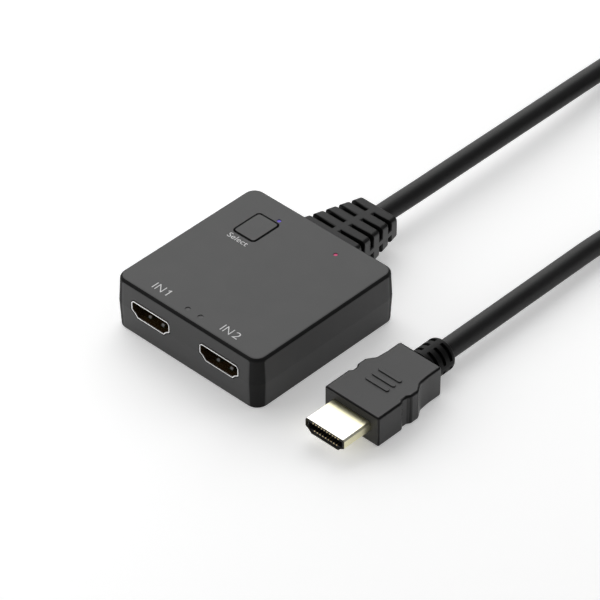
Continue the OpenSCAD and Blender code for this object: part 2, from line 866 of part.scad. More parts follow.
// The coil's least gap to itself, between points at least half a turn apart, and to the stretch that crosses it
coil_fine = finer(coil_route, 2);
plug_fine = finer(plug_route, 6);
self_gaps = [
    for (i = [0:len(coil_fine) - 1], j = [i + coil_rings:1:len(coil_fine) - 1])
        norm(coil_fine[i] - coil_fine[j]) - cable_d
];
cross_gaps = [
    for (a = plug_fine, i = [0:2 * coil_rings]) norm(a - coil_fine[i]) - cable_d
];
echo(least_gap_of_coil = min(self_gaps), least_gap_to_crossing = min(cross_gaps));

module cable_box_stretch() {
    color("#1e1e1f") tube(box_route, cable_r, 10);
}

module cable_coil() {
    color("#1e1e1f") tube(coil_route, cable_r, 6);
}

module cable_plug_stretch() {
    color("#1e1e1f") tube(plug_route, cable_r, 10);
}

// The tie is a strap round the two strands at the far side of the coil
module cable_tie() {
    outer = coil_point(tie_turn);
    inner = coil_point(tie_turn + 1);
    middle = (outer + inner) / 2;
    reach = (outer[1] - inner[1]) / 2;
    color("#141414") translate([middle[0] - tie_l / 2, middle[1], outer[2]])
        rotate([90, 0, 90]) linear_extrude(tie_l) difference() {
            strap_outline(reach, cable_r + tie_gap + tie_t);
            strap_outline(reach, cable_r + tie_gap);
        }
}

module strap_outline(reach, r) {
    for (s = [-1, 1]) translate([s * reach, 0]) circle(r = r);
    square([2 * reach, 2 * r], center = true);
}

// Points of an arc
function arc(x, y, r, from, to, steps) = [
    for (i = [0:steps]) let (a = from + (to - from) * i / steps) [x + r * cos(a), y + r * sin(a)]
];

// Half of the grip's outline from front to back: a flat groove, a shoulder and a hollow waist
function grip_half() = let (w = plug_w / 2) concat(
    [[w, 0], [w, groove_ys[0]], [w - groove_t, groove_ys[1]], [w - groove_t, groove_ys[2]], [w, groove_ys[3]]],
    [[w, shoulder_y]],
    arc(w + hollow_out, shoulder_y + hollow_back, hollow_r, 222, 180, 4),
    [[w - waist, shoulder_y + waist_back], [w - waist, plug_l - rear_round]],
    arc(w - waist - rear_round, plug_l - rear_round, rear_round, 0, 90, 4)
);

function mirrored(points) = [for (i = [len(points) - 1:-1:0]) [-points[i][0], points[i][1]]];

module plug_bar(w, h, grow, y, l) {
    translate([plug_x, plug_front_y, plug_z]) port_bar(w, h, grow, y, l);
}

// A raised bar with round ends, from y = 0 to its width
module grip_bar() {
    reach = (bar_l - bar_w) / 2;
    translate([-reach, 0, 0]) cube([2 * reach, bar_w, bar_h + eps]);
    for (s = [-1, 1]) translate([s * reach, bar_w / 2, 0]) cylinder(d = bar_w, h = bar_h + eps);
}

module plug_grip() {
    half = grip_half();
    color("#2a2a2b") difference() {
        union() {
            translate([plug_x, plug_front_y, 0]) linear_extrude(plug_h) polygon(concat(half, mirrored(half)));
            for (i = [0:bar_count - 1])
                translate([plug_x, plug_front_y + bar_first + bar_pitch * i, plug_h - eps]) grip_bar();
        }
        plug_bar(plug_shell_w, plug_shell_h, fit_gap, -cut, plug_shell_in + cut);
    }
}

module plug_shell() {
    inside_w = plug_shell_w - 2 * sheet;
    inside_h = plug_shell_h - 2 * sheet;
    color("#e9e2c4") difference() {
        plug_bar(plug_shell_w, plug_shell_h, 0, -plug_shell_l, plug_tube_l);
        plug_bar(inside_w, inside_h, 0, -plug_shell_l - cut, plug_tube_l + 2 * cut);
    }
}

// The contact strips are let into the two faces of the slot, and grow into the slot and out of the mouth
// to cut their own beds
module plug_strips(grow) {
    y = plug_mouth_y + insulator_back - grow;
    h = plug_contact_t + grow;
    for (row = contact_rows, cx = contact_xs(row[0])) {
        z = plug_z + row[1] * (plug_slot_h + plug_contact_t - grow) / 2;
        translate([plug_x + cx - contact_w / 2, y, z - h / 2])
            cube([contact_w, plug_slot_depth - insulator_back + grow, h]);
    }
}

// The block inside the plug's shell, with the slot that the tongue of a port enters
module plug_insulator() {
    w = plug_shell_w - 2 * sheet - 2 * fit_gap;
    h = plug_shell_h - 2 * sheet - 2 * fit_gap;
    color("#121212") difference() {
        plug_bar(w, h, 0, insulator_back - plug_shell_l, plug_tube_l - insulator_back);
        translate([plug_x - plug_slot_w / 2, plug_mouth_y - cut, plug_z - plug_slot_h / 2])
            cube([plug_slot_w, plug_slot_depth + cut, plug_slot_h]);
        plug_strips(cut);
    }
}

module plug_contacts() {
    color("#c8a24a") plug_strips(0);
}

// The plug's strain relief is a barrel with three rings of slots between four webs
module plug_boot() {
    r = plug_boot_d / 2;
    straight_l = plug_boot_l - plug_boot_round;
    color("#232324") translate([plug_x, plug_rear_y, plug_z]) rotate([-90, 0, 0]) difference() {
        rotate_extrude() polygon(concat(
            [[0, 0], [r, 0], [r, straight_l]],
            arc(r - plug_boot_round, straight_l, plug_boot_round, plug_boot_turn[0], plug_boot_turn[1], 5),
            [[0, plug_boot_l]]
        ));
        for (i = [0:plug_ring_count - 1]) translate([0, 0, plug_ring_first + plug_ring_pitch * i]) difference() {
            cylinder(r = r + cut, h = plug_ring_l);
            translate([0, 0, -cut]) cylinder(r = r - plug_ring_depth, h = plug_ring_l + 2 * cut);
            for (a = [0, 90]) rotate([0, 0, a]) cube([4 * r, plug_ring_web, 4 * plug_ring_l], center = true);
        }
    }
}

upper_shell();
lower_shell();
case_screws();
main_board();
port_shell(port_xs[0]);  // port_1_shell
port_tongue(port_xs[0]);  // port_1_tongue
port_contacts(port_xs[0]);  // port_1_contacts
port_shell(port_xs[1]);  // port_2_shell
port_tongue(port_xs[1]);  // port_2_tongue
port_contacts(port_xs[1]);  // port_2_contacts
switch_chip();
controller_chip();
surge_arrays();
capacitors();
resistors();
push_switch_body();
push_switch_dome();
push_switch_plunger();
push_switch_frame();
select_button();
input_leds();
blue_led();
red_led();
input_light_pipes();
blue_light_pipe();
red_light_pipe();
cable_boot();
cable_ferrule();
cable_inner_end();
signal_wires();
cable_box_stretch();
cable_coil();
cable_tie();
cable_plug_stretch();
plug_boot();
plug_grip();
plug_shell();
plug_insulator();
plug_contacts();
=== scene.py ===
import json
import math

import bmesh
import bpy
from mathutils import Matrix, Vector


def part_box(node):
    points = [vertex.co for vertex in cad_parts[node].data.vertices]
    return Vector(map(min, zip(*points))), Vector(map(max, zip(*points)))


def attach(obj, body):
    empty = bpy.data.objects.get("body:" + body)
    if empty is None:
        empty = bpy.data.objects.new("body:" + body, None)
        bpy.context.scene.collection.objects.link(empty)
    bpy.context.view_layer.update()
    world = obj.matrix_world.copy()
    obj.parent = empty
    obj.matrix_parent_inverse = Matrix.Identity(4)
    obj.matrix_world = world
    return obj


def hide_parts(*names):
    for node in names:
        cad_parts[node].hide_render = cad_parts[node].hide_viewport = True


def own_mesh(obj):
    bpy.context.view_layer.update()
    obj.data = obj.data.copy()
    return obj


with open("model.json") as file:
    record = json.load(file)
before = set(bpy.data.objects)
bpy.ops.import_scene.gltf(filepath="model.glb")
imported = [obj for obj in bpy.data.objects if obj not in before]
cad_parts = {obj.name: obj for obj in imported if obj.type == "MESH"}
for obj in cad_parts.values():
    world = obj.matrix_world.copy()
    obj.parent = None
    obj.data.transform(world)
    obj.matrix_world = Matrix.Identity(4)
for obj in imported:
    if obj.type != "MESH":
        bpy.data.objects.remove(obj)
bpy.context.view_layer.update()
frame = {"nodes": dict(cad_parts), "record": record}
nodes = frame["nodes"]
MM = 0.001


# Camera

LENS_PX = 3725.01
IMAGE_PX = 600
SENSOR_MM = 36.0
AZIMUTH = math.radians(43.626)
ELEVATION = math.radians(39.625)
CAMERA_OFFSET = (0.012083, 0.005368, 1.026018)
CLIP_START = 10 * MM


def add_camera():
    """The photograph's camera, at its own distance to the right of, above and back from the origin."""
    back = Vector((
        math.sin(AZIMUTH) * math.cos(ELEVATION),
        -math.cos(AZIMUTH) * math.cos(ELEVATION),
        math.sin(ELEVATION),
    ))
    right = Vector((math.cos(AZIMUTH), math.sin(AZIMUTH), 0.0))
    axes = (right, back.cross(right), back)
    place = sum((axis * step for axis, step in zip(axes, CAMERA_OFFSET)), Vector())
    lens = bpy.data.cameras.new("camera")
    lens.sensor_width = SENSOR_MM
    lens.lens = SENSOR_MM * LENS_PX / IMAGE_PX
    lens.clip_start = CLIP_START
    camera = bpy.data.objects.new("camera", lens)
    turn = Matrix(axes).transposed()
    camera.matrix_world = Matrix.Translation(place) @ turn.to_4x4()
    bpy.context.scene.collection.objects.link(camera)
    bpy.context.scene.camera = camera


# Materials

# Noise mostly keeps to this range
NOISE_LOW, NOISE_HIGH = 0.3, 0.7


class Paint:
    """A Principled material with short calls for the nodes that drive it."""

    def __init__(self, name, **sockets):
        self.material = bpy.data.materials.new(name)
        self.material.use_nodes = True
        self.tree = self.material.node_tree
        self.shader = self.tree.nodes["Principled BSDF"]
        self.coordinates = None
        for key, value in sockets.items():
            self.shader.inputs[key.replace("_", " ")].default_value = value

    def node(self, kind, inputs=(), **settings):
        made = self.tree.nodes.new(kind)
        for key, value in settings.items():
            setattr(made, key, value)
        for key, value in dict(inputs).items():
            self.feed(made.inputs[key], value)
        return made

    def feed(self, socket, value):
        """A number, a colour or another node's output goes into a socket."""
        if isinstance(value, bpy.types.NodeSocket):
            self.tree.links.new(value, socket)
        else:
            socket.default_value = value

    def set(self, key, value):
        self.feed(self.shader.inputs[key], value)

    def math(self, operation, a, b=0.0):
        return self.node("ShaderNodeMath", {0: a, 1: b}, operation=operation).outputs[0]

    def size(self, value):
        return self.math("ABSOLUTE", value)

    def distance(self, value, middle):
        return self.size(self.math("SUBTRACT", value, middle))

    def place(self):
        """X, Y and Z of the surface in the object's own frame, in metres."""
        if self.coordinates is None:
            self.coordinates = self.node("ShaderNodeTexCoord").outputs["Object"]
        return self.coordinates

    def normal(self):
        return self.node("ShaderNodeNewGeometry").outputs["Normal"]

    def axes(self, vector):
        return self.node("ShaderNodeSeparateXYZ", {0: vector}).outputs

    def sideways(self, start, full):
        """0 where the normal has less than start along X, and 1 where it has more than full."""
        return self.remap(self.size(self.axes(self.normal())["X"]), start, full)

    def noise(self, size, detail=3.0, roughness=0.55, stretch=(1, 1, 1)):
        """Noise between 0 and 1 whose blotches are about size metres across."""
        scaled = self.node("ShaderNodeVectorMath", {0: self.place(), 1: stretch}, operation="MULTIPLY")
        inputs = {
            "Vector": scaled.outputs[0],
            "Scale": 1 / size,
            "Detail": detail,
            "Roughness": roughness,
        }
        return self.node("ShaderNodeTexNoise", inputs).outputs["Fac"]

    def remap(self, value, low, high, to_low=0.0, to_high=1.0):
        inputs = {"Value": value, "From Min": low, "From Max": high, "To Min": to_low, "To Max": to_high}
        return self.node("ShaderNodeMapRange", inputs).outputs["Result"]

    def over(self, noise, low=0.0, high=1.0):
        """A number that noise takes from low to high."""
        return self.remap(noise, NOISE_LOW, NOISE_HIGH, low, high)

    def around(self, noise, middle, spread):
        """A number that noise takes from spread below middle to spread above it."""
        return self.over(noise, middle - spread, middle + spread)

    def blend(self, share, a, b):
        """Number a where share is 0 and number b where it is 1."""
        return self.remap(share, 0.0, 1.0, a, b)

    def mix(self, share, a, b):
        """Colour a where share is 0 and colour b where it is 1."""
        made = self.node("ShaderNodeMix", {"Factor": share}, data_type="RGBA")
        colours = [s for s in made.inputs if s.type == "RGBA"]
        self.feed(colours[0], a)
        self.feed(colours[1], b)
        return next(s for s in made.outputs if s.type == "RGBA")

    def bump(self, height, strength, distance):
        inputs = {"Height": height, "Strength": strength, "Distance": distance}
        self.set("Normal", self.node("ShaderNodeBump", inputs).outputs["Normal"])


def grey(value):
    return (value, value, value, 1.0)


def darker(colour, share):
    return tuple(share * c for c in colour[:3]) + (1.0,)


# Largest part of the normal along an axis, where the painted shade of an edge starts and where it is full
EDGE_START, EDGE_FULL = 0.99, 0.97


def shaded_edge_share(paint):
    """1 on rounded edges and corners, where their painted shade goes, and 0 on faces square to an axis or
    leaning a little.
    """
    size = paint.node("ShaderNodeVectorMath", {0: paint.normal()}, operation="ABSOLUTE").outputs[0]
    x, y, z = paint.axes(size)
    largest = paint.math("MAXIMUM", paint.math("MAXIMUM", x, y), z)
    return paint.remap(largest, EDGE_FULL, EDGE_START, 1.0, 0.0)


def grained(name, base, roughness, edge=None, edge_roughness=None):
    """Spark-eroded moulded plastic with a fine grain, and rounded edges painted near black as painted
    shade where an edge tone is given.
    """
    paint = Paint(name, Specular_IOR_Level=0.25)
    cloud = paint.noise(size=9 * MM, detail=2.0)
    fine = paint.noise(size=0.22 * MM, detail=4.0, roughness=0.6)
    tone = paint.math(
        "ADD",
        paint.around(cloud, middle=1.0, spread=0.03),
        paint.around(fine, middle=0.0, spread=0.05),
    )
    inputs = {0: grey(base)[:3], "Scale": tone}
    colour = paint.node("ShaderNodeVectorMath", inputs, operation="SCALE").outputs[0]
    gloss = paint.around(fine, roughness, spread=0.05)
    # Rounded edges and corners get a near-black colour and a gloss of their own: painted shade.
    if edge is not None:
        share = shaded_edge_share(paint)
        colour = paint.mix(share, colour, grey(edge))
        gloss = paint.blend(share, gloss, edge_roughness)
    paint.set("Base Color", colour)
    paint.set("Roughness", gloss)
    paint.bump(fine, strength=0.3, distance=0.05 * MM)
    return paint.material


RUBBER_SPREAD = 0.15


def rubber(name, base, roughness=0.38, side=None):
    """Soft moulded rubber with faint clouds and a fine skin, and sides facing along X painted paler as
    painted light where a side tone is given.
    """
    paint = Paint(name, Specular_IOR_Level=0.12)
    cloud = paint.over(paint.noise(size=5 * MM))
    fine = paint.noise(size=0.3 * MM, detail=4.0, roughness=0.6)

    def clouded(value):
        return paint.mix(cloud, grey(value * (1 - RUBBER_SPREAD)), grey(value * (1 + RUBBER_SPREAD)))

    tone = clouded(base)
    # Faces turned along X are painted paler: painted light on one side.
    if side is not None:
        tone = paint.mix(paint.sideways(start=0.75, full=0.9), tone, clouded(side))
    paint.set("Base Color", tone)
    paint.set("Roughness", paint.around(fine, roughness, spread=0.07))
    paint.bump(fine, strength=0.4, distance=0.05 * MM)
    return paint.material


def jacket(name, low, high):
    """Satin soft plastic with faint clouds from grey low to grey high and a fine skin."""
    paint = Paint(name, Specular_IOR_Level=0.34)
    cloud = paint.over(paint.noise(size=6 * MM, detail=2.0))
    fine = paint.noise(size=0.35 * MM, detail=4.0, roughness=0.65)
    paint.set("Base Color", paint.mix(cloud, grey(low), grey(high)))
    paint.set("Roughness", paint.remap(fine, low=0.25, high=0.75, to_low=0.42, to_high=0.58))
    paint.bump(fine, strength=0.5, distance=0.06 * MM)
    return paint.material


def woven(name, low, high):
    """Woven strap: a fine rough weave, closer along X, from grey low to grey high."""
    paint = Paint(name, Specular_IOR_Level=0.2)
    weave = paint.noise(size=0.35 * MM, roughness=0.6, stretch=(2.5, 1, 1))
    paint.set("Base Color", paint.mix(weave, grey(low), grey(high)))
    paint.set("Roughness", paint.over(weave, 0.75, 0.95))
    paint.bump(weave, strength=0.8, distance=0.15 * MM)
    return paint.material


def metal(name, base, roughness):
    """Plated metal with faint clouds and a little wear in its gloss."""
    paint = Paint(name, Metallic=1.0)
    cloud = paint.over(paint.noise(size=2.5 * MM))
    fine = paint.noise(size=0.4 * MM, detail=4.0, roughness=0.6)
    paint.set("Base Color", paint.mix(cloud, darker(base, 0.93), base))
    paint.set("Roughness", paint.around(fine, roughness, spread=0.06))
    paint.bump(fine, strength=0.05, distance=0.02 * MM)
    return paint.material


PORT_LOW, PORT_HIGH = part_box("port_2_shell")
PORT_X = (PORT_LOW.x + PORT_HIGH.x) / 2
# Depths in from a port's mouth where its painted shade starts and is full, and the spots of painted light
# where its spring fingers show
MOUTH_BRIGHT, MOUTH_SHADED = 0.12 * MM, 0.3 * MM
FINGER_X, FINGER_HALF_W, FINGER_FADE_W = 2.5 * MM, 0.4 * MM, 0.55 * MM
FINGER_DEPTH, FINGER_HALF_L, FINGER_FADE_L = 2.4 * MM, 0.3 * MM, 0.45 * MM


def port_steel(name, shade_low, shade_high, finger_light):
    """Bright nickel at the mouth of a port, painted dark brown further in as painted shade, with grey
    spots of painted light where its spring fingers show.
    """
    paint = Paint(name)
    x, y, _ = paint.axes(paint.place())
    depth = paint.math("SUBTRACT", y, PORT_LOW.y)
    # Further in, the bright nickel gives way to a dark brown: painted shade inside the port.
    inside = paint.remap(depth, MOUTH_BRIGHT, MOUTH_SHADED)
    across = paint.distance(paint.distance(paint.size(x), PORT_X), FINGER_X)
    along = paint.distance(depth, FINGER_DEPTH)
    # Grey spots where the spring fingers show: painted light.
    spot = paint.math(
        "MULTIPLY",
        paint.remap(across, FINGER_HALF_W, FINGER_FADE_W, 1.0, 0.0),
        paint.remap(along, FINGER_HALF_L, FINGER_FADE_L, 1.0, 0.0),
    )
    cloud = paint.over(paint.noise(size=2.5 * MM))
    fine = paint.noise(size=0.4 * MM, detail=4.0, roughness=0.6)
    bright = paint.mix(cloud, grey(0.9), grey(0.97))
    shaded = paint.mix(cloud, shade_low, shade_high)
    paint.set("Base Color", paint.mix(inside, bright, paint.mix(spot, shaded, finger_light)))
    paint.set("Metallic", paint.blend(inside, 1.0, 0.0))
    paint.set("Roughness", paint.over(fine, 0.2, 0.32))
    paint.bump(fine, strength=0.05, distance=0.02 * MM)
    return paint.material


PLUG_MOUTH_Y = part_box("plug_shell")[0].y
PLUG_GRIP_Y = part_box("plug_grip")[0].y
# Distances in from the plug's mouth for its painted dark rim, and out from its grip for its painted shade
RIM_DARK, RIM_END = 0.1 * MM, 0.15 * MM
WARM_START, WARM_FULL = 8.0 * MM, 3.0 * MM


def plug_metal(name, pale, shaded_warm, stain, shaded_rim):
    """Plated shell of the plug: pale on its top as a painted highlight, warmer at its sides and near the
    grip as painted shade, with a dark rim at its mouth as painted shade.
    """
    paint = Paint(name, Metallic=1.0)
    y = paint.axes(paint.place())["Y"]
    # Sides and the part near the grip take the warm tone as painted shade; the pale top is a painted
    # highlight.
    near_grip = paint.remap(y, PLUG_GRIP_Y - WARM_START, PLUG_GRIP_Y - WARM_FULL)
    shade_share = paint.math("MAXIMUM", paint.sideways(start=0.6, full=0.8), near_grip)
    stains = paint.over(paint.noise(size=2.5 * MM), high=0.06)
    plate = paint.mix(stains, paint.mix(shade_share, pale, shaded_warm), stain)
    # A dark band round the mouth: painted shade.
    rim = paint.remap(y, PLUG_MOUTH_Y + RIM_DARK, PLUG_MOUTH_Y + RIM_END, 1.0, 0.0)
    fine = paint.noise(size=0.5 * MM, roughness=0.6)
    paint.set("Base Color", paint.mix(rim, plate, shaded_rim))
    paint.set("Roughness", paint.over(fine, 0.27, 0.35))
    paint.bump(fine, strength=0.03, distance=0.02 * MM)
    return paint.material


def plain(name, base, roughness, specular=0.4, vary=0.15, glow=None):
    """Small parts: a colour with clouds and a fine skin, and light of its own where glow is given."""
    paint = Paint(name, Specular_IOR_Level=specular)
    cloud = paint.over(paint.noise(size=1.5 * MM))
    paint.set("Base Color", paint.mix(cloud, darker(base, 1 - vary), base))
    paint.set("Roughness", paint.around(paint.noise(size=0.3 * MM), roughness, spread=0.05))
    paint.bump(paint.noise(size=0.375 * MM), strength=0.2, distance=0.03 * MM)
    if glow is not None:
        paint.set("Emission Color", base)
        paint.set("Emission Strength", glow)
    return paint.material


LOOKS = [
    # The edge tones of the case and the button are painted shade.
    (grained, "case_plastic", dict(base=0.08, roughness=0.5, edge=0.003, edge_roughness=0.62)),
    (grained, "button_plastic", dict(base=0.082, roughness=0.49, edge=0.003, edge_roughness=0.2)),
    (grained, "plug_plastic", dict(base=0.054, roughness=0.4)),
    # The edge materials of the rounded copies are painted shade.
    (grained, "plug_edge", dict(base=0.002, roughness=0.22)),
    # The boot's paler side tone is painted light.
    (rubber, "boot_rubber", dict(base=0.01, side=0.1)),
    (rubber, "boot_edge", dict(base=0.006)),
    (rubber, "plug_boot_rubber", dict(base=0.006, roughness=0.45)),
    (jacket, "cable_jacket", dict(low=0.004, high=0.008)),
    (woven, "strap_fabric", dict(low=0.006, high=0.03)),
    (metal, "screw_steel", dict(base=grey(0.6), roughness=0.35)),
    (metal, "contact_gold", dict(base=(0.78, 0.64, 0.38, 1.0), roughness=0.3)),
    # The port's dark inner tones are painted shade, and its finger grey is painted light.
    (port_steel, "port_steel", dict(
        shade_low=(0.04, 0.024, 0.010, 1.0), shade_high=(0.06, 0.036, 0.015, 1.0), finger_light=grey(0.3),
    )),
    # The plug shell's pale top is a painted highlight, and its warm sides and dark rim are painted shade.
    (plug_metal, "plug_metal", dict(
        pale=(0.96, 0.95, 0.90, 1.0), shaded_warm=(0.9, 0.86, 0.6, 1.0), stain=(0.8, 0.74, 0.55, 1.0),
        shaded_rim=(0.03, 0.026, 0.018, 1.0),
    )),
    (plain, "tongue_plastic", dict(base=grey(0.012), roughness=0.5, specular=0.3)),
    (plain, "board_laminate", dict(base=(0.02, 0.1, 0.045, 1.0), roughness=0.4)),
    (plain, "chip_epoxy", dict(base=grey(0.02), roughness=0.6)),
    (plain, "capacitor_body", dict(base=(0.4, 0.27, 0.14, 1.0), roughness=0.5)),
    (plain, "led_body", dict(base=(0.8, 0.78, 0.7, 1.0), roughness=0.3)),
    (plain, "wire_jacket", dict(base=(0.25, 0.05, 0.04, 1.0), roughness=0.4)),
    (plain, "label_ink", dict(base=grey(0.75), roughness=0.6, specular=0.2, vary=0.06)),
    (plain, "smoked_light_pipe", dict(base=grey(0.12), roughness=0.5, specular=0.25)),
    (plain, "blue_light_pipe", dict(
        base=(0.14, 0.1, 0.55, 1.0), roughness=0.4, specular=0.15, vary=0.2, glow=0.3,
    )),
    (plain, "red_light_pipe", dict(
        base=(0.55, 0.07, 0.17, 1.0), roughness=0.4, specular=0.15, vary=0.2, glow=0.35,
    )),
]
MATERIALS = {name: make(name, **look) for make, name, look in LOOKS}

# CAD nodes that look different from the other nodes of their slot
OWN_LOOKS = {"plug_boot": "plug_boot_rubber"}


def paint_nodes():
    """Each CAD node gets its slot's material, or its own where it has one."""
    for part in frame["record"]["subparts"]:
        look = OWN_LOOKS.get(part["node"], part["material_slot"])
        for slot in nodes[part["node"]].material_slots:
            slot.material = MATERIALS[look]


# Pieces

def new_piece(name, data, body, look):
    """An object with one look, which rides on a body."""
    data.materials.append(MATERIALS[look])
    piece = bpy.data.objects.new(name, data)
    bpy.context.scene.collection.objects.link(piece)
    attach(piece, body)
    return piece


def finished_mesh(name, work):
    """The work as a mesh, with its faces turned outwards."""
    bmesh.ops.recalc_face_normals(work, faces=work.faces)
    mesh = bpy.data.meshes.new(name)
    work.to_mesh(mesh)
    work.free()
    return mesh


# Pieces with rounded edges, which are painted dark as painted shade

FLAT_ANGLE, SHARP_ANGLE = math.radians(1), math.radians(30)
ROUNDING_STEPS = 3
GRIP_ROUND, BOOT_ROUND, BUTTON_ROUND = 0.68 * MM, 0.4 * MM, 0.3 * MM
# Points closer than this are joined before the rounding
CLOSE_MERGE, BOOT_MERGE = 0.0005 * MM, 0.03 * MM


def rounded_copy(node, body, width, merge, weight_at, face, edge):
    """A copy which stands for a CAD node, with sharp edges rounded to width times their weight and given
    the edge material as painted shade.
    """
    mesh = nodes[node].data.copy()
    work = bmesh.new()
    work.from_mesh(mesh)
    bmesh.ops.remove_doubles(work, verts=work.verts, dist=merge)
    bmesh.ops.dissolve_limit(work, angle_limit=FLAT_ANGLE, verts=work.verts, edges=work.edges)
    weight = work.edges.layers.float.new("bevel_weight_edge")
    for line in work.edges:
        if len(line.link_faces) == 2 and line.is_convex and line.calc_face_angle() > SHARP_ANGLE:
            line[weight] = weight_at(*(v.co / MM for v in line.verts))
    for polygon in work.faces:
        polygon.smooth = True
        polygon.material_index = 0
    work.to_mesh(mesh)
    work.free()
    if "custom_normal" in mesh.attributes:
        mesh.attributes.remove(mesh.attributes["custom_normal"])
    mesh.set_sharp_from_angle(angle=SHARP_ANGLE)
    mesh.materials.clear()
    piece = new_piece(node + "_rounded", mesh, body, face)
    # The rounding takes the dark edge material, which is painted shade.
    mesh.materials.append(MATERIALS[edge])
    bevel = piece.modifiers.new("rounding", "BEVEL")
    bevel.width = width
    bevel.segments = ROUNDING_STEPS
    bevel.limit_method = "WEIGHT"
    bevel.use_clamp_overlap = False
    bevel.harden_normals = True
    bevel.material = 1
    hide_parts(node)
    return piece


# Heights, places and reaches in millimetres, and weights of edges
TOUCH = 0.02
GRIP_BAR_H, BAR_WEIGHT, END_WEIGHT = 0.3, 0.12, 0.7
GRIP_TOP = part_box("plug_grip")[1].z / MM - GRIP_BAR_H
BOOT_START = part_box("upper_shell")[1].y / MM
BOOT_AXIS_Z = sum(corner.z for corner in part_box("cable_boot")) / (2 * MM)
BOOT_BORE_R = 3.3
BUTTON_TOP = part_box("select_button")[1].z / MM


def grip_weight(a, b):
    """Full along the grip's sides, less across its ends and up its corners, small on its top's bars."""
    if any(min(abs(p.z), abs(p.z - GRIP_TOP)) > TOUCH for p in (a, b)):
        return BAR_WEIGHT if min(a.z, b.z) > GRIP_TOP + TOUCH else 0.0
    return 1.0 if abs(b.y - a.y) > abs(b.x - a.x) else END_WEIGHT


def boot_weight(a, b):
    """Full on the part of the boot that stands out of the case, but not on its bore."""
    outside = min(a.y, b.y) > BOOT_START + TOUCH
    off_bore = min(math.hypot(p.x, p.z - BOOT_AXIS_Z) for p in (a, b)) > BOOT_BORE_R
    return 1.0 if outside and off_bore else 0.0


def button_weight(a, b):
    """Full on the edge of the button's top."""
    return 1.0 if min(a.z, b.z) > BUTTON_TOP - TOUCH else 0.0


def add_grip():
    """The plug's grip, with smooth rounded edges painted dark as painted shade."""
    return rounded_copy(
        "plug_grip", "case", GRIP_ROUND, CLOSE_MERGE, grip_weight, "plug_plastic", "plug_edge",
    )


def add_boot():
    """The strain relief behind the case, with rounded edges on its ribs and slots painted darker as
    painted shade.
    """
    return rounded_copy(
        "cable_boot", "case", BOOT_ROUND, BOOT_MERGE, boot_weight, "boot_rubber", "boot_edge",
    )


def add_button():
    """The select button, with a rounded edge on its top painted dark as painted shade."""
    rounded_copy(
        "select_button", "button", BUTTON_ROUND, CLOSE_MERGE, button_weight, "button_plastic", "plug_edge",
    )


# Snap dome of the push switch

def add_dome():
    """A copy of the snap dome with a mesh of its own, which rides on the case in place of the CAD node."""
    mesh = nodes["push_switch_dome"].data.copy()
    mesh.materials.clear()
    dome = new_piece("push_switch_dome_spring", mesh, "case", "port_steel")
    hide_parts("push_switch_dome")
    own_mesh(dome)


# Strap round the coil, in millimetres

STRAP_MIDDLE = sum(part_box("cable_tie"), Vector()) / (2 * MM)
# Half the way between the two strands, the strap's inner radius and its length along the cable
STRAP_REACH, STRAP_R, STRAP_L = 3.45, 3.35, 4.0
STRAP_T, STRAP_TAIL_T, TAIL_SINK = 0.9, 0.6, 0.02
STRAP_ROUND, STRAP_ROUND_STEPS = 0.28, 3
STRAP_STEPS, TAIL_FIRST, TAIL_LAST = 64, 5, 28


def strap_section(thickness):
    """Rounded outline of the strap: its place along the cable, and out from its inner face."""
    half, r = STRAP_L / 2, STRAP_ROUND
    corners = [
        (half - r, thickness - r, 0),
        (r - half, thickness - r, 90),
        (r - half, r, 180),
        (half - r, r, 270),
    ]
    outline = []
    for x, out, start in corners:
        for i in range(STRAP_ROUND_STEPS + 1):
            a = math.radians(start + 90 * i / STRAP_ROUND_STEPS)
            outline.append((x + r * math.cos(a), out + r * math.sin(a)))
    return outline


def strap_point(share):
    """Place and outward direction, in YZ, at a share of the way round the two strands."""
    straight, bend = 2 * STRAP_REACH, math.pi * STRAP_R
    way = (share % 1) * 2 * (straight + bend)
    side = 1
    if way >= straight + bend:
        way -= straight + bend
        side = -1
    if way < straight:
        return side * (way - STRAP_REACH), side * STRAP_R, 0.0, side
    a = (way - straight) / STRAP_R
    out_y, out_z = side * math.sin(a), side * math.cos(a)
    return side * STRAP_REACH + STRAP_R * out_y, STRAP_R * out_z, out_y, out_z


def sweep_strap(work, steps, section, lift, closed):
    """The section, lifted off the strands, goes along the steps round them."""
    rings = []
    for step in steps:
        y, z, out_y, out_z = strap_point(step / STRAP_STEPS)
        places = [Vector((x, y + (out + lift) * out_y, z + (out + lift) * out_z)) for x, out in section]
        rings.append([work.verts.new((STRAP_MIDDLE + place) * MM) for place in places])
    pairs = list(zip(rings, rings[1:])) + ([(rings[-1], rings[0])] if closed else [])
    for a, b in pairs:
        for i in range(len(section)):
            work.faces.new((a[i - 1], a[i], b[i], b[i - 1]))
    if not closed:
        work.faces.new(rings[0])
        work.faces.new(list(reversed(rings[-1])))


def add_strap():
    """A woven strap round the two strands, with its free end laid over the top and down one side."""
    work = bmesh.new()
    sweep_strap(work, range(STRAP_STEPS), strap_section(STRAP_T), 0.0, True)
    tail = range(TAIL_FIRST, TAIL_LAST + 1)
    sweep_strap(work, tail, strap_section(STRAP_TAIL_T), STRAP_T - TAIL_SINK, False)
    for polygon in work.faces:
        polygon.smooth = len(polygon.verts) == 4
    strap = new_piece("cable_strap", finished_mesh("cable_strap", work), "case", "strap_fabric")
    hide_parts("cable_tie")
    return strap


# Cable, with its route in millimetres

